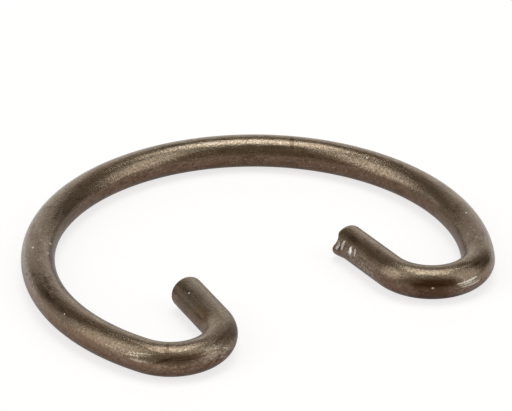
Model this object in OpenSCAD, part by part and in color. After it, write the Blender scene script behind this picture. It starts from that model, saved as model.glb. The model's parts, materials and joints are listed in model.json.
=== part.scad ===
// Piston pin clip: an open ring of round spring wire whose two ends are bent inwards as tails.
// It snaps into the groove of a piston's pin bore and keeps the pin from sliding out.
// The ring lies in the XY plane about the Z axis, with its wire centred on Z = 0 and its gap facing -Y.

/* [Wire] */
// Diameter of the round spring wire
wire_d = 2.5; // [1.6:0.1:3.2]

/* [Ring] */
// Outer diameter of the free ring, measured over the wire
ring_outer_d = 35; // [32:0.5:42]
// Sweep of the ring's round part in degrees, centred on its back
ring_sweep = 239.5; // [225:0.5:250]

/* [Hooks] */
// Inside radius of the bend at each end
bend_inner_r = 2.35; // [1.8:0.05:3]
// Angle in degrees through which each end is turned inwards
bend_angle = 146.5; // [130:0.5:160]
// Straight length of the plain tail, from its bend to its flat end
plain_tail_l = 4.9; // [3:0.1:7]
// Straight length of the cropped tail, from its bend to its cut
cropped_tail_l = 5.5; // [3:0.1:7]

/* [Cut ends] */
// Edge break round the plain tail's flat end
edge_break = 0.12; // [0.05:0.01:0.3]
// Height of the lip that the blade left standing past the cropped tail's cut
lip_h = 0.4; // [0.1:0.05:0.8]
// Thickness of that lip at its middle
lip_t = 0.4; // [0.2:0.05:0.6]
// Radius of the bite that the blade took out of the cut's rim
bite_r = 0.4; // [0.2:0.05:0.6]
// Turn of the lip round the cropped tail, in degrees up from its side that faces the gap
lip_turn = -65; // [-120:5:-65]
// Turn of the bite round the cropped tail, in degrees up from its side that faces the gap
bite_turn = 30; // [30:5:90]

/* [Hidden] */
wire_r = wire_d / 2;
ring_r = ring_outer_d / 2 - wire_r;
bend_r = bend_inner_r + wire_r;
// Each length of wire starts a short lap inside the one before it and is thinner by a hair all round,
// as wire is where a bend has stretched it, so that the lengths join as one solid
lap = 0.1;
thinning = 0.01;
bend_wire_r = wire_r - thinning;
tail_wire_r = bend_wire_r - thinning;
$fn = 96;

// A length of round wire swept about Z
module wire_arc(loop_r, r, from, to) {
    rotate_extrude(start = from, angle = to - from)
        translate([loop_r, 0])
            circle(r = r);
}

// Frame at a bend's centre, with +X pointing to the +X end of the ring
module bend_frame() {
    rotate([0, 0, 90 - ring_sweep / 2])
        translate([ring_r - bend_r, 0, 0])
            children();
}

// Frame where a tail leaves its bend, with +Z along the tail, +X facing the gap and +Y up
module tail_frame() {
    rotate([0, 0, -bend_angle])
        translate([bend_r, 0, 0])
            rotate([90, 0, 0])
                children();
}

// Straight tail with a flat end whose edge is broken
module plain_tail() {
    translate([0, 0, -lap])
        cylinder(r = tail_wire_r, h = plain_tail_l - edge_break + lap);
    translate([0, 0, plain_tail_l - edge_break])
        cylinder(r1 = tail_wire_r, r2 = tail_wire_r - edge_break, h = edge_break);
}

// Straight tail as a blade cropped it: a lip stands past the cut on one side, and the rim has a bite
module cropped_tail() {
    difference() {
        translate([0, 0, -lap])
            cylinder(r = tail_wire_r, h = cropped_tail_l + lip_h + lap);
        rotate([0, 0, lip_turn])
            translate([tail_wire_r - lip_t - 2 * wire_d, -wire_d, cropped_tail_l])
                cube([2 * wire_d, 2 * wire_d, 2 * lip_h]);
        rotate([0, 0, bite_turn])
            translate([tail_wire_r, 0, cropped_tail_l])
                sphere(r = bite_r);
    }
}

// One bent end of the ring, with its tail as the child
module hook() {
    bend_frame() {
        wire_arc(bend_r, bend_wire_r, -bend_angle, lap / bend_r * 180 / PI);
        tail_frame() children();
    }
}

module clip() {
    color("#6b5d4b") {
        wire_arc(ring_r, wire_r, 90 - ring_sweep / 2, 90 + ring_sweep / 2);
        hook() cropped_tail();
        mirror([1, 0, 0]) hook() plain_tail();
    }
}

clip();
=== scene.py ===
"""Piston pin clip: a ring of bent spring wire with a bronze-brown temper oxide, on a pale studio floor."""

import json
import math

import bpy
from bpy.props import FloatProperty, FloatVectorProperty, IntProperty, PointerProperty
from mathutils import Matrix, Vector

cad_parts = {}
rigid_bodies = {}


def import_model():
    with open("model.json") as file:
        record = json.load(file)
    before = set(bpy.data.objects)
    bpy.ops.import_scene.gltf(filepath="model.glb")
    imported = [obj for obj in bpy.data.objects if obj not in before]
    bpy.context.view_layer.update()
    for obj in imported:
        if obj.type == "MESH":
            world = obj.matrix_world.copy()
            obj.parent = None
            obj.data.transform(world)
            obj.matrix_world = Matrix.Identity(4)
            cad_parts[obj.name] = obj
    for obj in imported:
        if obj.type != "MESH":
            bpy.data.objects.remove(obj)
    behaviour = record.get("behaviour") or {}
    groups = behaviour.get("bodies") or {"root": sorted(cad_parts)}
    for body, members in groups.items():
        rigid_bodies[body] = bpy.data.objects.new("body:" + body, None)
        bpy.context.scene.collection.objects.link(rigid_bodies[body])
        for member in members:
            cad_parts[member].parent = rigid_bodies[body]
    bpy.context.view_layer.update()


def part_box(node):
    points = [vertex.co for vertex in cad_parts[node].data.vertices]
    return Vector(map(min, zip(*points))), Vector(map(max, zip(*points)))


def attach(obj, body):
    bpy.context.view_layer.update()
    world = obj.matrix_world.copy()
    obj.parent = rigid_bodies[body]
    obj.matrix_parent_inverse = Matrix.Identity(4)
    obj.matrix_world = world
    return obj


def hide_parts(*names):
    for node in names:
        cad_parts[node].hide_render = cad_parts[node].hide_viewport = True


bl_info = {
    "name": "Piston pin clip",
    "version": (1, 0, 0),
    "blender": (4, 5, 0),
    "location": "View3D > Sidebar > Pin clip",
    "description": "Bends a spring wire into a piston pin clip and sets it on a studio floor",
    "category": "Object",
}

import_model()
CAD_LOW, CAD_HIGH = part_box("clip")
MM = 0.001


# Sizes, finish and studio

class ClipSizes(bpy.types.PropertyGroup):
    """Sizes of the wire and of its run"""

    wire_d: FloatProperty(
        name="Wire diameter",
        description="Diameter of the round spring wire",
        default=CAD_HIGH[2] - CAD_LOW[2],
        unit="LENGTH",
    )
    ring_outer_d: FloatProperty(
        name="Ring diameter",
        description="Outer diameter of the free ring, over the wire",
        default=CAD_HIGH[0] - CAD_LOW[0],
        unit="LENGTH",
    )
    ring_sweep: FloatProperty(
        name="Ring sweep",
        description="Sweep of the ring's round part, centred on its back",
        default=math.radians(239.5),
        subtype="ANGLE",
    )
    bend_inner_r: FloatProperty(
        name="Bend radius",
        description="Inside radius of the bend at each end",
        default=2.35 * MM,
        unit="LENGTH",
    )
    bend_angle: FloatProperty(
        name="Bend angle",
        description="Angle through which each end is turned inwards",
        default=math.radians(146.5),
        subtype="ANGLE",
    )
    plain_tail: FloatProperty(
        name="Plain tail",
        description="Straight length of the tail with the flat end",
        default=4.9 * MM,
        unit="LENGTH",
    )
    cropped_tail: FloatProperty(
        name="Cropped tail",
        description="Straight length of the tail with the cropped end, up to the cut",
        default=5.4 * MM,
        unit="LENGTH",
    )
    edge_r: FloatProperty(
        name="Worn edge",
        description="Radius of the worn edge round both cut ends",
        default=0.28 * MM,
        unit="LENGTH",
    )
    lip_h: FloatProperty(
        name="Lip height",
        description="How far the lip stands past the cropped end's cut",
        default=0.4 * MM,
        unit="LENGTH",
    )
    lip_turn: FloatProperty(
        name="Lip turn",
        description="Place of the lip round the tail, up from the side that faces the gap",
        default=math.radians(-65),
        subtype="ANGLE",
    )
    lip_flare: FloatProperty(
        name="Lip flare",
        description="How far the lip stands out past the wire's side",
        default=0.18 * MM,
        unit="LENGTH",
    )
    crest_h: FloatProperty(
        name="Crest height",
        description="How far the cropped end's upper edge stands past its cut",
        default=0.15 * MM,
        unit="LENGTH",
    )
    bite_w: FloatProperty(
        name="Bite reach",
        description="How far the bite out of the cropped end's rim reaches",
        default=0.50 * MM,
        unit="LENGTH",
    )
    bite_h: FloatProperty(
        name="Bite depth",
        description="Depth of the bite out of the cropped end's rim",
        default=0.22 * MM,
        unit="LENGTH",
    )
    bite_turn: FloatProperty(
        name="Bite turn",
        description="Place of the bite round the tail, up from the side that faces the gap",
        default=math.radians(22),
        subtype="ANGLE",
    )
    columns: IntProperty(
        name="Columns",
        description="Vertices along the wire",
        default=980,
    )
    rows: IntProperty(
        name="Rows",
        description="Vertices round the wire",
        default=72,
    )


class ClipFinish(bpy.types.PropertyGroup):
    """Colours of the wire's surface"""

    # Top and side oxide are partly lit and shaded copies of one oxide: the top's colour stands where the
    # lamps' highlights fall, the flanks' redder one where the wire faces the shaded floor
    oxide_top: FloatVectorProperty(
        name="Top oxide",
        description="Bronze-brown temper oxide on the wire's upper side, rubbed thin",
        subtype="COLOR",
        default=(0.150, 0.084, 0.025),
    )
    oxide_side: FloatVectorProperty(
        name="Side oxide",
        description="Redder temper oxide on the wire's flanks and underside",
        subtype="COLOR",
        default=(0.230, 0.101, 0.048),
    )
    # Also the colour of the stains, some of which are partly painted shade
    oxide_dark: FloatVectorProperty(
        name="Thick oxide",
        description="Dark oxide in patches, pits and flecks",
        subtype="COLOR",
        default=(0.068, 0.031, 0.014),
    )
    # The grey cast lies on the upper side only and is partly a painted reflection of the pale backdrop
    oxide_grey: FloatVectorProperty(
        name="Grey cast",
        description="Grey-green cast on the smoothest lengths",
        subtype="COLOR",
        default=(0.138, 0.108, 0.056),
    )
    dust: FloatVectorProperty(
        name="Dust",
        description="Pale grains of dust and scale",
        subtype="COLOR",
        default=(0.86, 0.84, 0.80),
    )
    bare: FloatVectorProperty(
        name="Bare steel",
        description="Steel where the oxide is rubbed or cut away",
        subtype="COLOR",
        default=(0.64, 0.578, 0.475),
    )
    # A painted sheen: a pale colour mixed into the oxide, standing in for its glassy reflection, heavier on
    # the upper side
    painted_sheen: FloatVectorProperty(
        name="Film",
        description="Glassy sheen of the thin oxide, which lies over its brown",
        subtype="COLOR",
        default=(0.308, 0.271, 0.227),
    )
    rust: FloatVectorProperty(
        name="Rust",
        description="Orange-brown bloom inside a bend",
        subtype="COLOR",
        default=(0.360, 0.165, 0.050),
    )


class StudioSettings(bpy.types.PropertyGroup):
    """Camera, lamps and floor"""

    azimuth: FloatProperty(
        name="Azimuth",
        description="Turn of the camera about the clip, from in front of its gap",
        default=math.radians(-30.8),
        subtype="ANGLE",
    )
    elevation: FloatProperty(
        name="Elevation",
        description="Height of the camera above the floor's plane",
        default=math.radians(30.25),
        subtype="ANGLE",
    )
    roll: FloatProperty(
        name="Roll",
        description="Turn of the picture about the view's axis",
        default=math.radians(0.74),
        subtype="ANGLE",
    )
    distance: FloatProperty(
        name="Distance",
        description="Distance from the camera to the ring's centre",
        default=0.325,
        unit="LENGTH",
    )
    floor_colour: FloatVectorProperty(
        name="Floor",
        description="Colour of the floor",
        subtype="COLOR",
        default=(0.32, 0.32, 0.32),
    )
    floor_glow: FloatProperty(
        name="Floor glow",
        description="White that the floor adds for the camera",
        default=0.74,
    )
    room_colour: FloatVectorProperty(
        name="Room colour",
        description="Colour of the surroundings",
        subtype="COLOR",
        default=(1.0, 0.74, 0.47),
    )
    room_level: FloatProperty(
        name="Room",
        description="Brightness of the surroundings",
        default=0.20,
    )
    backdrop_level: FloatProperty(
        name="Backdrop",
        description="Brightness of the backdrop behind the clip",
        default=0.90,
    )
    wall_level: FloatProperty(
        name="Wall",
        description="Brightness of the wall at the left",
        default=0.6,
    )
    top_level: FloatProperty(
        name="Top lamp",
        description="Brightness of the lamp overhead",
        default=3.6,
    )
    side_level: FloatProperty(
        name="Side lamps",
        description="Brightness of the lamps at the sides",
        default=1.45,
    )


# Node trees written as arithmetic

def plug(tree, value, socket):
    """Gives a socket a field or a constant."""
    if isinstance(value, Field):
        tree.links.new(value.socket, socket)
    else:
        socket.default_value = value


class Field:
    """A number in a node tree. Python's arithmetic on it adds Math nodes to the tree."""

    def __init__(self, tree, socket):
        self.tree = tree
        self.socket = socket

    def math(self, operation, *others):
        node = self.tree.nodes.new("ShaderNodeMath")
        node.operation = operation
        for value, socket in zip((self, *others), node.inputs):
            plug(self.tree, value, socket)
        return Field(self.tree, node.outputs[0])

    def __add__(self, other):
        return self.math("ADD", other)

    def __sub__(self, other):
        return self.math("SUBTRACT", other)

    def __mul__(self, other):
        return self.math("MULTIPLY", other)

    def __truediv__(self, other):
        return self.math("DIVIDE", other)

    def __neg__(self):
        return self * -1

    def __rsub__(self, other):
        return -self + other

    def __abs__(self):
        return self.math("ABSOLUTE")

    __radd__ = __add__
    __rmul__ = __mul__

    def least(self, other):
        return self.math("MINIMUM", other)

    def most(self, other):
        return self.math("MAXIMUM", other)

    def ramp(self, start, end, low=0.0, high=1.0):
        """A smooth step from low to high as the field goes from start to end."""
        node = self.tree.nodes.new("ShaderNodeMapRange")
        node.interpolation_type = "SMOOTHSTEP"
        # A smooth step stays within its range by itself
        node.clamp = False
        for value, socket in zip((self, start, end, low, high), node.inputs):
            plug(self.tree, value, socket)
        return Field(self.tree, node.outputs[0])


def sin(field):
    return field.math("SINE")


def cos(field):
    return field.math("COSINE")


def root(field):
    return field.math("SQRT")


def vector_math(tree, operation, first, second):
    """A Vector Math node on two vectors, each of them a socket or a constant."""
    node = tree.nodes.new("ShaderNodeVectorMath")
    node.operation = operation
    for vector, socket in zip((first, second), node.inputs):
        if isinstance(vector, bpy.types.NodeSocket):
            tree.links.new(vector, socket)
        else:
            socket.default_value = vector
    return node


def near(tree, place, point, reach):
    """A field that is 1 at a point and falls smoothly to 0 at a distance from it."""
    gap = Field(tree, vector_math(tree, "DISTANCE", place, point).outputs["Value"])
    return gap.ramp(0.0, reach, 1.0, 0.0)


def window(value, bounds, edge):
    """A field that is 1 between two bounds and fades out past them."""
    low, high = bounds
    return value.ramp(low - edge, low + edge) * value.ramp(high - edge, high + edge, 1.0, 0.0)


# Marks on the wire

# A mark's place is in millimetres along the wire from the ring's back, towards the cropped end, and in
# degrees round the wire, up from its outer side
RADIUS = (CAD_HIGH[2] - CAD_LOW[2]) / 2 / MM


def on_wire(along, turn):
    """A mark's place on the unbent wire's surface, in millimetres."""
    return RADIUS * math.cos(math.radians(turn)), RADIUS * math.sin(math.radians(turn)), along


# Nicks: along, round, reach and depth in millimetres
NICKS = (
    (46.35, 22, 0.42, 0.10),
    (47.95, 14, 0.36, 0.10),
    (-35.4, 62, 0.30, 0.04),
    (-39.2, 20, 0.35, 0.05),
)
# Grains of dust: along, round, reach in millimetres
DUST = (
    (39.6, 10, 0.12),
    (29.4, 92, 0.10),
    (17.7, 118, 0.12),
    (-16.7, 138, 0.16),
    (-17.9, 74, 0.14),
    (-18.3, 158, 0.10),
    (-18.4, 128, 0.13),
    (-27.0, 46, 0.09),
    (-46.1, 124, 0.10),
)
# Rubbed patches: from and to along the wire, from and to round it, strength
SCUFFS = (
    ((-40.4, -37.4), (0, 48), 0.60),
    ((-35.4, -31.8), (10, 40), 0.48),
    ((-23.2, -16.0), (16, 44), 0.40),
    ((36.4, 38.4), (-36, 12), 0.40),
    ((1.8, 10.9), (104, 127), 0.42),
    ((11.7, 15.5), (108, 124), 0.30),
    ((12.5, 27.0), (124, 160), 0.40),
    ((-9.5, 1.8), (112, 164), 0.36),
    ((42.8, 47.4), (-24, 30), 0.65),
    ((-34.5, -27.5), (38, 64), 0.10),
)
# Dark stains, listed in the same way. Those on the lower flank from -34 to -25 mm and on the right bend from
# 38 to 41 mm are partly painted shade: dark reflections painted into the oxide's colour
STAINS_AND_SHADE = (
    ((-34, -25), (-40, 22), 0.30),
    ((38.3, 40.7), (14, 42), 0.95),
    ((38.2, 40.9), (-56, 16), 0.65),
    ((-38.0, -35.4), (12, 46), 0.50),
    ((-41.4, -39.9), (12, 64), 0.50),
)
# The rusty bloom inside a bend: from and to along the wire, from and to round it
BLOOM = ((-44.3, -40.4), (128, 170))
# Lengths where the oxide on top has an olive cast. It lies where the top lamp's highlights fall and is
# partly a painted tint of these highlights
OLIVE = ((-40, -35), (1, 12), (36.5, 42))
# Lengths where the oxide is smooth, with how grey and how thick it is there. The grey cast is laid on the
# upper side only and is partly a painted reflection of the pale backdrop
SMOOTH = (
    ((-26, -18), 0.40, 0.35),
    ((-18, -9), 0.40, 0.15),
    ((23, 29), 0.15, 0.0),
    ((29, 35), 0.40, 0.35),
    ((-47, -43), 0.80, 0.0),
)
# Lengths where the bending has crazed the oxide
CRAZED = ((-48, -34), (37, 42))
# Scratches: along and round at the start, along and round at the end, half the width, strength.
# The shears and the scrapes are torn bright metal
SHEARS = (
    (48.05, 20, 48.1, -4, 0.19, 1.0),
    (47.5, 36, 47.6, 2, 0.17, 1.0),
    (46.65, 30, 46.6, 6, 0.18, 1.0),
    (46.15, 32, 46.0, 14, 0.26, 0.8),
    (46.35, 2, 46.4, 4, 0.12, 0.9),
)
SCRAPES = (
    (36.9, 19, 38.2, 15, 0.11, 1.0),
    (37.1, 10, 38.1, 8, 0.09, 0.8),
    (36.7, 2, 37.9, 0, 0.11, 0.9),
    (37.4, -6, 37.9, -9, 0.08, 0.55),
    (36.9, -15, 37.5, -16, 0.12, 0.55),
    (37.2, -25, 37.7, -30, 0.14, 0.5),
)
BRIGHT_SCRATCHES = (
    (41.3, 50, 42.3, 42, 0.10, 0.3),
    (41.0, 38, 42.1, 33, 0.08, 0.2),
    (17.6, 126, 17.8, 115, 0.10, 0.8),
    (22.0, 129, 24.0, 128, 0.09, 0.4),
    (-35.1, 44, -33.4, 32, 0.09, 0.8),
    (-34.9, 34, -33.2, 22, 0.09, 0.9),
    (-34.6, 16, -33.6, 12, 0.13, 0.9),
    (-39.7, 0, -39.3, 26, 0.10, 0.9),
    (-39.3, -12, -38.6, 8, 0.08, 0.9),
    (-40.0, 22, -39.4, 46, 0.09, 0.8),
)
DARK_SCRATCHES = (
    (46.0, 9, 46.1, 11, 0.08, 1.0),
    (48.35, -4, 48.45, -22, 0.12, 0.9),
    (47.8, 10, 47.85, -8, 0.07, 0.8),
    (-35.7, 44, -35.7, 94, 0.17, 0.60),
    (-36.2, 40, -35.0, 14, 0.14, 0.75),
    (-38.0, 40, -36.2, 35, 0.12, 0.8),
    (-38.2, 30, -36.3, 27, 0.10, 0.8),
    (-38.9, 8, -38.4, -22, 0.12, 0.7),
    (-38.3, 4, -37.9, -18, 0.10, 0.6),
    (11.2, 82, 11.4, 136, 0.22, 0.60),
    (1.8, 88, 2.0, 112, 0.12, 0.4),
)


# The wire

class WireTree:
    """Geometry nodes that roll a flat sheet into the wire and bend it along the clip's run."""

    INPUTS = (
        ("Wire Radius", "NodeSocketFloat"),
        ("Ring Radius", "NodeSocketFloat"),
        ("Half Sweep", "NodeSocketFloat"),
        ("Bend Radius", "NodeSocketFloat"),
        ("Bend Angle", "NodeSocketFloat"),
        ("Plain Tail", "NodeSocketFloat"),
        ("Cropped Tail", "NodeSocketFloat"),
        ("Worn Edge", "NodeSocketFloat"),
        ("Lip Height", "NodeSocketFloat"),
        ("Lip Turn", "NodeSocketFloat"),
        ("Lip Flare", "NodeSocketFloat"),
        ("Crest Height", "NodeSocketFloat"),
        ("Bite Reach", "NodeSocketFloat"),
        ("Bite Depth", "NodeSocketFloat"),
        ("Bite Turn", "NodeSocketFloat"),
        ("Columns", "NodeSocketInt"),
        ("Rows", "NodeSocketInt"),
        ("Material", "NodeSocketMaterial"),
    )
    # Length of tail over which a cut's shape runs out along the wire
    CUT_REACH = 0.9 * MM
    # Places of the crest and the flare round the tail, up from the side that faces the gap
    CREST_TURN = math.radians(85)
    FLARE_TURN = math.radians(-25)
    # Where the lip and the crest start and are full, towards their side, in shares of the wire's radius
    LIP_RISE = (0.30, 1.0)
    CREST_RISE = (0.1, 0.9)
    # Where the flare starts and is full: cosines of the turn from its middle, and shares of the radius
    FLARE_SPREAD = (0.55, 1.0)
    FLARE_RISE = (0.4, 0.9)
    # Distance within which the rolled sheet's seam and the middles of its ends are joined
    WELD = 0.5e-6

    def __init__(self):
        self.tree = bpy.data.node_groups.new("Bent wire", "GeometryNodeTree")
        self.ids = {}
        for name, kind in self.INPUTS:
            socket = self.tree.interface.new_socket(name, in_out="INPUT", socket_type=kind)
            self.ids[name] = socket.identifier
        self.tree.interface.new_socket("Geometry", in_out="OUTPUT", socket_type="NodeSocketGeometry")
        self.group_in = self.tree.nodes.new("NodeGroupInput")
        self.build()

    def node(self, kind, links=None, **settings):
        made = self.tree.nodes.new(kind)
        for key, value in settings.items():
            setattr(made, key, value)
        for name, value in (links or {}).items():
            if isinstance(value, bpy.types.NodeSocket):
                self.tree.links.new(value, made.inputs[name])
            else:
                plug(self.tree, value, made.inputs[name])
        return made

    def given(self, name):
        return Field(self.tree, self.group_in.outputs[name])

    def vector(self, x, y, z):
        return self.node("ShaderNodeCombineXYZ", {"X": x, "Y": y, "Z": z}).outputs[0]

    def store(self, geometry, name, value, kind):
        links = {"Geometry": geometry, "Name": name, "Value": value}
        made = self.node("GeometryNodeStoreNamedAttribute", links, data_type=kind, domain="POINT")
        return made.outputs["Geometry"]

    def cropped_end(self, across, up):
        """How far the cropped end stands past its cut at a place on its disc: a lip, a crest and a bite."""
        wire_r, lip_turn = self.given("Wire Radius"), self.given("Lip Turn")
        towards_lip = (across * cos(lip_turn) + up * sin(lip_turn)) / wire_r
        lip = towards_lip.ramp(*self.LIP_RISE) * self.given("Lip Height")
        bite_w, bite_turn = self.given("Bite Reach"), self.given("Bite Turn")
        off_x = (across - wire_r * cos(bite_turn)) / bite_w
        off_y = (up - wire_r * sin(bite_turn)) / bite_w
        bite = (1 - off_x * off_x - off_y * off_y).most(0) * self.given("Bite Depth")
        towards_crest = (across * math.cos(self.CREST_TURN) + up * math.sin(self.CREST_TURN)) / wire_r
        crest = towards_crest.ramp(*self.CREST_RISE) * self.given("Crest Height")
        return lip - bite + crest

    def build(self):
        wire_r, ring_r, bend_r = (self.given(n + " Radius") for n in ("Wire", "Ring", "Bend"))
        plain, cropped = self.given("Plain Tail"), self.given("Cropped Tail")
        ring_half = ring_r * self.given("Half Sweep")
        bend_l = bend_r * self.given("Bend Angle")
        run_l = ring_half + bend_l

        # The sheet: its length is the wire's and an end disc's radius at each end, its width one turn
        sheet = self.node(
            "GeometryNodeMeshGrid",
            {
                "Size X": 2 * run_l + plain + cropped + 2 * wire_r,
                "Size Y": 2 * math.pi,
                "Vertices X": self.given("Columns"),
                "Vertices Y": self.given("Rows") + 1,
            },
        )
        position = self.node("GeometryNodeInputPosition").outputs[0]
        flat = self.node("ShaderNodeSeparateXYZ", {"Vector": position})
        sheet_x = Field(self.tree, flat.outputs["X"]) + (cropped - plain) * 0.5
        turn = -Field(self.tree, flat.outputs["Y"])

        # Along the wire from the ring's back, and in from an end's rim where the sheet covers an end
        along = sheet_x.most(-(run_l + plain)).least(run_l + cropped)
        inset = abs(sheet_x - along)
        to_crop, to_plain = run_l + cropped - along, run_l + plain + along
        to_end = to_crop.least(to_plain)
        outward = (to_plain - to_crop).math("SIGN")

        # The worn edge is a quarter round: the wall gives its first half and the end's disc its second
        edge = self.given("Worn Edge")
        lean = ((edge - to_end).most(0) + inset.least(edge)) * (math.pi / 4) / edge
        rho = wire_r - edge + edge * cos(lean) - (inset - edge).most(0)
        across, up = rho * cos(turn), rho * sin(turn)
        run = self.vector(across / MM, up / MM, along / MM)
        worn = along + outward * (edge * sin(lean) - (edge - to_end).most(0))

        # The cropped end's shape, which runs out along the tail, and nicks in the wire
        near_crop = to_crop.ramp(0.0, self.CUT_REACH, 1.0, 0.0)
        placed = worn + near_crop * self.cropped_end(across, up)
        flared = cos(turn - self.FLARE_TURN).ramp(*self.FLARE_SPREAD) * near_crop
        rho = rho + flared * self.given("Lip Flare") * (rho / wire_r).ramp(*self.FLARE_RISE)
        for nick_along, nick_turn, reach, depth in NICKS:
            rho = rho - near(self.tree, run, on_wire(nick_along, nick_turn), reach) * (depth * MM)
        across, up = rho * cos(turn), rho * sin(turn)

        # The bent run: round part, bend and tail, alike on both sides of the back
        far = abs(placed)
        side = placed.math("SIGN")
        on_ring = far.least(ring_half)
        on_bend = (far - ring_half).most(0).least(bend_l)
        on_tail = (far - run_l).most(0)
        ring_turn = on_ring / ring_r
        all_turn = ring_turn + on_bend / bend_r
        centre_r = ring_r - bend_r
        outer_r = bend_r + across
        x = centre_r * sin(ring_turn) + outer_r * sin(all_turn) + on_tail * cos(all_turn)
        y = centre_r * cos(ring_turn) + outer_r * cos(all_turn) - on_tail * sin(all_turn)

        # The unbent wire's own coordinates, in millimetres, for the finish
        mesh = self.store(sheet.outputs["Mesh"], "run", run, "FLOAT_VECTOR")
        mesh = self.store(mesh, "inset", inset / MM, "FLOAT")
        bent_place = self.vector(side * x, y, up)
        bent = self.node("GeometryNodeSetPosition", {"Geometry": mesh, "Position": bent_place})
        closed = self.node(
            "GeometryNodeMergeByDistance", {"Geometry": bent.outputs["Geometry"], "Distance": self.WELD}
        )
        smooth = self.node("GeometryNodeSetShadeSmooth", {"Geometry": closed.outputs["Geometry"]})
        single = self.node("GeometryNodeRealizeInstances", {"Geometry": smooth.outputs["Geometry"]})
        links = {"Geometry": single.outputs["Geometry"], "Material": self.group_in.outputs["Material"]}
        dressed = self.node("GeometryNodeSetMaterial", links)
        out = self.tree.nodes.new("NodeGroupOutput")
        self.tree.links.new(dressed.outputs["Geometry"], out.inputs["Geometry"])


def bent_wire(sizes, material):
    """The wire as a plain mesh, in the clip's own frame."""
    wire = WireTree()
    wire_r = sizes.wire_d / 2
    values = {
        "Wire Radius": wire_r,
        "Ring Radius": sizes.ring_outer_d / 2 - wire_r,
        "Half Sweep": sizes.ring_sweep / 2,
        "Bend Radius": sizes.bend_inner_r + wire_r,
        "Bend Angle": sizes.bend_angle,
        "Plain Tail": sizes.plain_tail,
        "Cropped Tail": sizes.cropped_tail,
        "Worn Edge": sizes.edge_r,
        "Lip Height": sizes.lip_h,
        "Lip Turn": sizes.lip_turn,
        "Lip Flare": sizes.lip_flare,
        "Crest Height": sizes.crest_h,
        "Bite Reach": sizes.bite_w,
        "Bite Depth": sizes.bite_h,
        "Bite Turn": sizes.bite_turn,
        "Columns": sizes.columns,
        "Rows": sizes.rows,
        "Material": material,
    }
    maker = bpy.data.objects.new("wire_maker", bpy.data.meshes.new("wire_maker"))
    bpy.context.scene.collection.objects.link(maker)
    modifier = maker.modifiers.new("Bent wire", "NODES")
    modifier.node_group = wire.tree
    for name, value in values.items():
        modifier[wire.ids[name]] = value
    depsgraph = bpy.context.evaluated_depsgraph_get()
    mesh = bpy.data.meshes.new_from_object(maker.evaluated_get(depsgraph))
    bpy.data.objects.remove(maker)
    if not mesh.polygons:
        raise RuntimeError("the bent wire has no faces")
    mesh.name = "spring_wire"
    return mesh


# The finish

# Noises over the unbent wire: scale, detail, roughness and, where it is drawn out, a factor on each axis
GRAIN = (6.0, 4.0, 0.65)
FINE_GRAIN = (14.0, 3.0, 0.7)
DRAW_LINES = (5.0, 4.0, 0.65, (1.0, 1.0, 0.16))
PATCHES = (1.1, 4.0, 0.6, (1.0, 1.0, 0.5))
BLOTCHES = (1.9, 4.0, 0.65)
RUB_LINES = (8.0, 3.0, 0.6, (1.0, 1.0, 0.10))
TEARS = (9.0, 3.0, 0.6, (1.0, 0.15, 1.0))
# How softly marks end: millimetres along the wire and, for patches, degrees round it
SMOOTH_EDGE = 3.0
OLIVE_EDGE = 2.0
CRAZED_EDGE = 1.5
BLOOM_EDGE = (1.0, 12.0)
STAIN_SHADE_EDGE = (0.7, 10.0)
SCUFF_EDGE = (0.5, 8.0)
# Millimetres by which noise shifts the edges of scratches and the ends of stains and of painted shade
SCRATCH_SHIFT = 0.3
STAIN_SHADE_SHIFT = 3.0
# Width of a scratch at its ends, as a share of its width in the middle
SCRATCH_TAPER = 0.55
# Shares in which marks cover what lies under them
OLIVE_CAST = 0.35
PATCH_COVER = 0.55
FLECK_COVER = 0.28
RUB_LINE_COVER = 0.6
DUST_COVER = 0.85
SHEAR_COVER = 0.9
SCRAPE_COVER = 0.35
# What marks add to the roughness
FLECK_ROUGHNESS = 0.10
RUBBED_ROUGHNESS = -0.04
DUST_ROUGHNESS = 0.4
CRAZED_ROUGHNESS = 0.09
STAIN_SHADE_ROUGHNESS = 0.30
# Share of metal in the thin oxide's shine. Thick oxide and bare steel shine as metal throughout
OXIDE_METAL = 0.75
RELIEF_DEPTH = 0.035 * MM


class Paint:
    """Shader nodes of one material."""

    def __init__(self, name):
        self.material = bpy.data.materials.new(name)
        self.material.use_nodes = True
        self.tree = self.material.node_tree
        self.shader = self.tree.nodes["Principled BSDF"]

    def attribute(self, name):
        node = self.tree.nodes.new("ShaderNodeAttribute")
        node.attribute_name = name
        return node

    def parts(self, vector):
        node = self.tree.nodes.new("ShaderNodeSeparateXYZ")
        self.tree.links.new(vector, node.inputs[0])
        return [Field(self.tree, output) for output in node.outputs]

    def joined(self, x, y):
        node = self.tree.nodes.new("ShaderNodeCombineXYZ")
        plug(self.tree, x, node.inputs["X"])
        plug(self.tree, y, node.inputs["Y"])
        return node.outputs[0]

    def noise(self, vector, scale, detail, roughness):
        node = self.tree.nodes.new("ShaderNodeTexNoise")
        self.tree.links.new(vector, node.inputs["Vector"])
        node.inputs["Scale"].default_value = scale
        node.inputs["Detail"].default_value = detail
        node.inputs["Roughness"].default_value = roughness
        return Field(self.tree, node.outputs["Fac"])

    def mix(self, amount, first, second):
        node = self.tree.nodes.new("ShaderNodeMix")
        node.data_type = "RGBA"
        plug(self.tree, amount, node.inputs["Factor"])
        for colour, socket in ((first, node.inputs["A"]), (second, node.inputs["B"])):
            if isinstance(colour, bpy.types.NodeSocket):
                self.tree.links.new(colour, socket)
            else:
                socket.default_value = (*colour, 1.0)
        return node.outputs["Result"]

    def bump(self, height, depth):
        node = self.tree.nodes.new("ShaderNodeBump")
        node.inputs["Strength"].default_value = 1.0
        node.inputs["Distance"].default_value = depth
        plug(self.tree, height, node.inputs["Height"])
        self.tree.links.new(node.outputs["Normal"], self.shader.inputs["Normal"])


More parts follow.
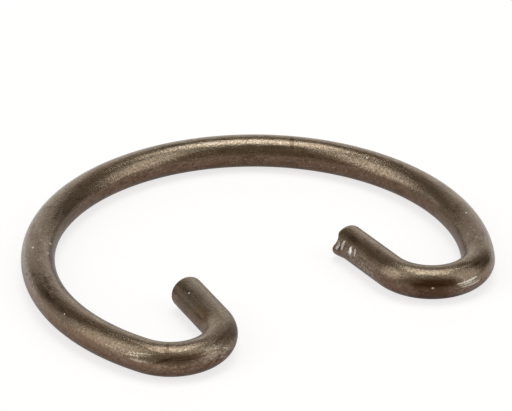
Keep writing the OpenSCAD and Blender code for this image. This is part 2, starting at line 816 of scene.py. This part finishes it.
class TemperedWire(Paint):
    """Drawn spring wire with a bronze-brown oxide, whose marks are worked out on the unbent wire."""

    def __init__(self, finish):
        super().__init__("tempered_wire")
        self.run = self.attribute("run").outputs["Vector"]
        across, up, self.along = self.parts(self.run)
        self.turn = up.math("ARCTAN2", across) * (180 / math.pi)
        self.grain = self.spread(*GRAIN)
        self.fine = self.spread(*FINE_GRAIN)
        self.lines = self.spread(*DRAW_LINES)
        self.patches = self.spread(*PATCHES)
        self.blotches = self.spread(*BLOTCHES)
        # 1 on top, where the oxide is rubbed thin, and 0 on the flanks and below. The colours that follow it
        # are partly painted light as well: greyer and paler on top, where the lamps' highlights fall, and
        # redder below, where the wire faces the shaded floor
        self.thin = (up + self.patches * 0.8 - 0.4).ramp(-0.35, 0.95)
        self.smooth = sum(window(self.along, length, SMOOTH_EDGE) for length, _, _ in SMOOTH)
        # The unrolled wire, shifted a little by the grain so that scratches have ragged edges
        self.unrolled = self.joined(
            self.turn * math.radians(RADIUS) + (self.fine - 0.5) * SCRATCH_SHIFT,
            self.along + (self.grain - 0.5) * SCRATCH_SHIFT,
        )
        colour = self.oxide(finish)
        colour = self.mix(self.thick_oxide(), colour, finish.oxide_dark)
        colour = self.mix(self.bare_steel(), colour, finish.bare)
        # Painted sheen: a pale colour, heavier on top, where the lamps' highlights fall
        colour = self.mix(self.painted_sheen(), colour, finish.painted_sheen)
        colour = self.mix(self.pale_grains(), colour, finish.dust)
        self.tree.links.new(colour, self.shader.inputs["Base Color"])
        self.shine()

    def spread(self, scale, detail, roughness, factors=None):
        """Noise over the unbent wire."""
        vector = self.run
        if factors:
            vector = vector_math(self.tree, "MULTIPLY", vector, factors).outputs[0]
        return self.noise(vector, scale, detail, roughness)

    def patch(self, along, length, sector, edge):
        """A field that is 1 on a patch of the wire and fades out past it."""
        return window(along, length, edge[0]) * window(self.turn, sector, edge[1])

    def scratch(self, ends, width):
        """A field that is 1 along a straight, tapering scratch on the unrolled wire and 0 past its edges."""
        from_along, from_turn, to_along, to_turn = ends
        start = Vector((RADIUS * math.radians(from_turn), from_along, 0.0))
        reach = Vector((RADIUS * math.radians(to_turn), to_along, 0.0)) - start
        offset = vector_math(self.tree, "SUBTRACT", self.unrolled, start).outputs[0]
        share = vector_math(self.tree, "DOT_PRODUCT", offset, reach / reach.length_squared)
        passed = Field(self.tree, share.outputs["Value"]).most(0).least(1)
        foot = self.tree.nodes.new("ShaderNodeVectorMath")
        foot.operation = "SCALE"
        foot.inputs[0].default_value = reach
        plug(self.tree, passed, foot.inputs["Scale"])
        gap = vector_math(self.tree, "DISTANCE", offset, foot.outputs[0]).outputs["Value"]
        taper = passed * (1 - passed) * (4 - 4 * SCRATCH_TAPER) + SCRATCH_TAPER
        return (Field(self.tree, gap) / taper).ramp(width * 0.4, width * 1.2, 1.0, 0.0)

    def scratches(self, marks):
        """A field of all the scratches in a list, each at its own strength."""
        return sum(self.scratch(ends, width) * strength for *ends, width, strength in marks)

    def oxide(self, finish):
        """The oxide's colour: redder on the flanks, greyer where it is smooth, rusty in places. The redder
        flanks and the grey and olive casts on top are partly painted light, set by which way the surface
        faces.
        """
        colour = self.mix(self.thin, finish.oxide_side, finish.oxide_top)
        greyed = sum(window(self.along, length, SMOOTH_EDGE) * grey for length, grey, _ in SMOOTH)
        olive = sum(window(self.along, length, OLIVE_EDGE) for length in OLIVE)
        cast = (greyed + olive * OLIVE_CAST).least(1) * self.thin
        colour = self.mix(cast, colour, finish.oxide_grey)
        length, sector = BLOOM
        mottled = self.blotches.ramp(0.38, 0.60, 0.15, 0.65)
        self.bloom = self.patch(self.along, length, sector, BLOOM_EDGE) * mottled
        tinted = self.blotches.ramp(0.50, 0.68) * self.thin.ramp(0.2, 1.0, 0.22, 0.06)
        return self.mix(self.bloom.most(tinted), colour, finish.rust)

    def thick_oxide(self):
        """Where the oxide is thick and dark: in stains, some of them partly painted shade, dark scratches,
        patches, flecks and mottles.
        """
        dense = sum(window(self.along, length, SMOOTH_EDGE) * amount for length, _, amount in SMOOTH)
        self.flecks = self.grain.ramp(0.50, 0.36) * (1 - self.smooth * 0.15)
        wandering = self.along + (self.blotches - 0.5) * STAIN_SHADE_SHIFT
        uneven = self.patches.ramp(0.10, 0.35)
        # Stains, partly painted shade on the lower front flank and on the right bend
        self.stained_and_shaded = sum(
            self.patch(wandering, length, sector, STAIN_SHADE_EDGE) * uneven * strength
            for length, sector, strength in STAINS_AND_SHADE
        )
        self.covered = self.stained_and_shaded.most(self.scratches(DARK_SCRATCHES)).least(1)
        mottles = (self.grain * 0.5 + self.blotches * 0.5).ramp(0.52, 0.40)
        mottles = mottles * self.thin.ramp(0.0, 0.7, 0.55, 0.0)
        patchy = self.patches.ramp(0.50, 0.70) * PATCH_COVER + dense * self.thin
        self.thick = self.covered.most(patchy).most(self.flecks * FLECK_COVER).most(mottles)
        return self.thick

    def bare_steel(self):
        """Where steel shows: on rubbed lines, scuffs, bright scratches, the cropped cut and torn metal."""
        rubbed = (self.lines * 0.4 + self.grain * 0.6).ramp(0.50, 0.66)
        rubbed = rubbed * self.thin.ramp(0.0, 1.0, 0.42, 0.55) * (1 - self.smooth * 0.40)
        rub_lines = self.spread(*RUB_LINES).ramp(0.50, 0.62) * RUB_LINE_COVER
        scuffed = rub_lines.most(self.grain.ramp(0.45, 0.60))
        for length, sector, strength in SCUFFS:
            rubbed = rubbed.most(self.patch(self.along, length, sector, SCUFF_EDGE) * scuffed * strength)
        rubbed = rubbed.most(self.scratches(BRIGHT_SCRATCHES).least(1) * self.grain.ramp(0.35, 0.55))
        self.cut = Field(self.tree, self.attribute("inset").outputs["Fac"]).ramp(0.05, 0.20)
        self.cut = self.cut * self.along.ramp(0.0, 1.0)
        self.torn = self.spread(*TEARS)
        cut_steel = (self.torn * 0.5 + self.blotches * 0.5).ramp(0.38, 0.60, 0.25, 0.95)
        rubbed = rubbed.most(self.cut * cut_steel) * (1 - self.covered)
        self.sheared = (self.scratches(SHEARS) * (self.grain + self.fine)).ramp(0.40, 0.90)
        self.scraped = (self.scratches(SCRAPES) * (self.grain + self.fine)).ramp(0.40, 1.00)
        self.rubbed = rubbed.most(self.sheared).most(self.scraped)
        return self.rubbed

    def painted_sheen(self):
        """Where the thin oxide shows its painted sheen: where it is neither rubbed, thick nor rusty, and
        more on the upper side, where the lamps' highlights fall.
        """
        hidden = self.rubbed.most(self.thick).most(self.bloom)
        return (1 - hidden) * self.thin.ramp(0.0, 1.0, 0.30, 0.45)

    def pale_grains(self):
        """Where dust lies, and where torn steel has a pale broken grain."""
        grains = [near(self.tree, self.run, on_wire(along, turn), reach) for along, turn, reach in DUST]
        self.dust = sum(grains).ramp(0.15, 0.5) * DUST_COVER
        return self.dust.most(self.sheared * SHEAR_COVER).most(self.scraped * SCRAPE_COVER)

    def shine(self):
        """Roughness, the share of metal, and the relief of lines, grain and torn steel."""
        pale = self.dust.most(self.sheared * 0.15)
        crazed = sum(window(self.along, length, CRAZED_EDGE) for length in CRAZED)
        roughness = self.lines.ramp(0.3, 0.7, 0.14, 0.22) + self.flecks * FLECK_ROUGHNESS
        roughness = roughness + self.rubbed * RUBBED_ROUGHNESS + pale * DUST_ROUGHNESS
        roughness = roughness + crazed * CRAZED_ROUGHNESS + self.stained_and_shaded * STAIN_SHADE_ROUGHNESS
        plug(self.tree, roughness, self.shader.inputs["Roughness"])
        metal = self.rubbed.most(self.thick) * (1 - OXIDE_METAL) + OXIDE_METAL
        plug(self.tree, metal * (1 - pale), self.shader.inputs["Metallic"])
        relief = self.lines * 0.5 + self.grain * 0.5 + self.torn * self.cut
        self.bump(relief - self.sheared * 0.6 - self.scraped * 0.3, RELIEF_DEPTH)


# The stage

FLOOR_RADIUS = 3.0
FLOOR_CORNERS = 96
# Share of the floor's glow that the wire mirrors, inside the ring and from a little way outside it. The
# lower share inside the ring is painted shade, standing in for the ring's shadow on the floor
GLOW_INSIDE = 0.35
GLOW_OUTSIDE = 0.90
GLOW_EDGE = (16.5 * MM, 21.5 * MM)
LAMP_DISTANCE = 0.6
# Edges of the backdrop and the wall, in shares of a direction's length: where each is full and where it ends
BACKDROP_SIDE = (0.70, 0.95)
BACKDROP_TOP = (0.45, 0.70)
WALL_SIDE = (-0.95, -0.80)
WALL_TOP = (0.3, 0.7)
# Both lie behind the clip: where they start and where they are full
BEHIND = (0.0, 0.3)
# How far the backdrop's middle lies to the left, and how fast it narrows upwards
BACKDROP_LEFT = 0.05
BACKDROP_TAPER = 0.8
# The room is brighter on the camera's side: between which shares it falls off, and what is left behind
ROOM_FALL = (-0.7, 0.1)
ROOM_BEHIND = 0.5


def seen(tree, mirrored):
    """1 for what the camera sees, a given share where it is mirrored, and 0 for light on the object."""
    path = tree.nodes.new("ShaderNodeLightPath")
    camera, glossy, through = (
        Field(tree, path.outputs[name]) for name in ("Is Camera Ray", "Is Glossy Ray", "Is Transmission Ray")
    )
    return camera.most(through).most(glossy * mirrored)


def pale_floor(studio, level):
    """A round floor under the clip. It keeps the shadow, and glows for the camera and in reflections."""
    mesh = bpy.data.meshes.new("floor")
    angles = [corner * math.tau / FLOOR_CORNERS for corner in range(FLOOR_CORNERS)]
    points = [(FLOOR_RADIUS * math.cos(a), FLOOR_RADIUS * math.sin(a), level) for a in angles]
    mesh.from_pydata(points, [], [list(range(FLOOR_CORNERS))])
    material = bpy.data.materials.new("pale_floor")
    material.use_nodes = True
    tree = material.node_tree
    shader = tree.nodes["Principled BSDF"]
    shader.inputs["Base Color"].default_value = (*studio.floor_colour, 1.0)
    shader.inputs["Roughness"].default_value = 0.9
    shader.inputs["Specular IOR Level"].default_value = 0.0
    shader.inputs["Emission Color"].default_value = (1.0, 1.0, 1.0, 1.0)
    parts = tree.nodes.new("ShaderNodeSeparateXYZ")
    tree.links.new(tree.nodes.new("ShaderNodeNewGeometry").outputs["Position"], parts.inputs[0])
    x, y, _ = (Field(tree, output) for output in parts.outputs)
    mirrored = root(x * x + y * y).ramp(*GLOW_EDGE, GLOW_INSIDE, GLOW_OUTSIDE)
    plug(tree, seen(tree, mirrored) * studio.floor_glow, shader.inputs["Emission Strength"])
    mesh.materials.append(material)
    floor = bpy.data.objects.new("floor", mesh)
    bpy.context.scene.collection.objects.link(floor)


def view_axes(studio):
    """The camera's right, up and back axes in the clip's frame, before its roll."""
    a, e = studio.azimuth, studio.elevation
    back = Vector((math.sin(a) * math.cos(e), -math.cos(a) * math.cos(e), math.sin(e)))
    right = Vector((math.cos(a), math.sin(a), 0.0))
    return right, back.cross(right), back


def studio_camera(studio):
    """A long lens at the photograph's angle."""
    picture_w, picture_h = 512, 411
    centre_x, centre_y = 258.19, 256.77
    pixels_per_metre = 13.54 / MM
    sensor = 36.0
    right, up, back = view_axes(studio)
    data = bpy.data.cameras.new("camera")
    data.sensor_width = sensor
    data.lens = studio.distance * pixels_per_metre * sensor / picture_w
    data.clip_start, data.clip_end = 0.01, 20.0
    # The roll is about the ring's centre. A slight turn of the camera then puts that centre in its place
    roll = Matrix.Rotation(studio.roll, 3, "Z")
    aim_x = (picture_w / 2 - centre_x) / pixels_per_metre / studio.distance
    aim_y = (centre_y - picture_h / 2) / pixels_per_metre / studio.distance
    aim = Matrix.Rotation(-aim_x, 3, "Y") @ Matrix.Rotation(aim_y, 3, "X")
    axes = Matrix((right, up, back)).transposed() @ roll @ aim
    camera = bpy.data.objects.new("camera", data)
    camera.matrix_world = Matrix.Translation(back * studio.distance) @ axes.to_4x4()
    bpy.context.scene.collection.objects.link(camera)
    bpy.context.scene.camera = camera


def soft_lamp(name, studio, level, azimuth, elevation, width, height):
    """A rectangular lamp that faces the clip, placed in degrees right of the line of sight and up."""
    data = bpy.data.lights.new(name, "AREA")
    data.shape = "RECTANGLE"
    data.size, data.size_y = width, height
    data.energy = level * math.pi * width * height
    a, e = studio.azimuth - math.radians(azimuth), math.radians(elevation)
    back = Vector((-math.sin(a) * math.cos(e), math.cos(a) * math.cos(e), math.sin(e)))
    right = Vector((math.cos(a), math.sin(a), 0.0))
    lamp = bpy.data.objects.new(name, data)
    axes = Matrix((right, back.cross(right), back)).transposed()
    lamp.matrix_world = Matrix.Translation(back * LAMP_DISTANCE) @ axes.to_4x4()
    bpy.context.scene.collection.objects.link(lamp)


def studio_lamps(studio):
    """A soft lamp overhead, leaning back, one at each side, the right one weaker, and the dim room."""
    soft_lamp("top_lamp", studio, studio.top_level, azimuth=8, elevation=82, width=0.38, height=0.38)
    for name, azimuth, share in (("left_lamp", -106, 1.0), ("right_lamp", 106, 0.9)):
        level = studio.side_level * share
        soft_lamp(name, studio, level, azimuth, elevation=32, width=0.40, height=0.70)
    bpy.context.scene.world = dim_room(studio)


def dim_room(studio):
    """A dim warm room, with a white backdrop behind the clip and a pale wall at the left."""
    world = bpy.data.worlds.new("studio")
    world.use_nodes = True
    tree = world.node_tree
    direction = tree.nodes.new("ShaderNodeTexCoord").outputs["Generated"]
    parts = tree.nodes.new("ShaderNodeSeparateXYZ")
    tree.links.new(direction, parts.inputs[0])
    x, y, z = (Field(tree, output) for output in parts.outputs)
    away = y * math.cos(studio.azimuth) - x * math.sin(studio.azimuth)
    sideways = x * math.cos(studio.azimuth) + y * math.sin(studio.azimuth)
    backdrop = (abs(sideways + BACKDROP_LEFT) + z * BACKDROP_TAPER).ramp(*BACKDROP_SIDE, 1.0, 0.0)
    backdrop = backdrop * z.ramp(*BACKDROP_TOP, 1.0, 0.0)
    wall = sideways.ramp(*WALL_SIDE, 1.0, 0.0) * z.ramp(*WALL_TOP, 1.0, 0.0)
    white = (backdrop * studio.backdrop_level + wall * studio.wall_level) * away.ramp(*BEHIND)
    room = tree.nodes["Background"]
    room.inputs["Color"].default_value = (*studio.room_colour, 1.0)
    plug(tree, away.ramp(*ROOM_FALL, 1.0, ROOM_BEHIND) * studio.room_level, room.inputs["Strength"])
    pale = tree.nodes.new("ShaderNodeBackground")
    pale.inputs["Color"].default_value = (1.0, 1.0, 1.0, 1.0)
    plug(tree, white, pale.inputs["Strength"])
    both = tree.nodes.new("ShaderNodeAddShader")
    for shader, socket in zip((room, pale), both.inputs):
        tree.links.new(shader.outputs[0], socket)
    tree.links.new(both.outputs[0], tree.nodes["World Output"].inputs["Surface"])
    return world


# Operators and panel

class PINCLIP_OT_bend_wire(bpy.types.Operator):
    """Bend the spring wire into the clip and give it its finish"""

    bl_idname = "pin_clip.bend_wire"
    bl_label = "Bend wire"

    def execute(self, context):
        scene = context.scene
        finish = TemperedWire(scene.pin_clip_finish)
        mesh = bent_wire(scene.pin_clip_sizes, finish.material)
        piece = bpy.data.objects.new("spring_wire", mesh)
        scene.collection.objects.link(piece)
        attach(piece, "root")
        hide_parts("clip")
        return {"FINISHED"}


class PINCLIP_OT_set_stage(bpy.types.Operator):
    """Set the floor, the lamps and the camera"""

    bl_idname = "pin_clip.set_stage"
    bl_label = "Set stage"

    def execute(self, context):
        studio = context.scene.pin_clip_studio
        pale_floor(studio, CAD_LOW[2])
        studio_camera(studio)
        studio_lamps(studio)
        context.scene.view_settings.view_transform = "Standard"
        return {"FINISHED"}


class PINCLIP_PT_panel(bpy.types.Panel):
    """Sizes, finish and studio of the clip"""

    bl_label = "Pin clip"
    bl_idname = "PINCLIP_PT_panel"
    bl_space_type = "VIEW_3D"
    bl_region_type = "UI"
    bl_category = "Pin clip"

    def draw(self, context):
        scene = context.scene
        for group in (scene.pin_clip_sizes, scene.pin_clip_finish, scene.pin_clip_studio):
            box = self.layout.box()
            for name in group.bl_rna.properties.keys():
                if name not in {"rna_type", "name"}:
                    box.prop(group, name)
        for operator in (PINCLIP_OT_bend_wire, PINCLIP_OT_set_stage):
            self.layout.operator(operator.bl_idname)


GROUPS = {
    "pin_clip_sizes": ClipSizes,
    "pin_clip_finish": ClipFinish,
    "pin_clip_studio": StudioSettings,
}
CLASSES = (*GROUPS.values(), PINCLIP_OT_bend_wire, PINCLIP_OT_set_stage, PINCLIP_PT_panel)


def register():
    for cls in CLASSES:
        bpy.utils.register_class(cls)
    for name, group in GROUPS.items():
        setattr(bpy.types.Scene, name, PointerProperty(type=group))


def unregister():
    for name in GROUPS:
        delattr(bpy.types.Scene, name)
    for cls in reversed(CLASSES):
        bpy.utils.unregister_class(cls)


def main():
    register()
    bpy.ops.pin_clip.bend_wire()
    bpy.ops.pin_clip.set_stage()


if __name__ == "__main__":
    main()
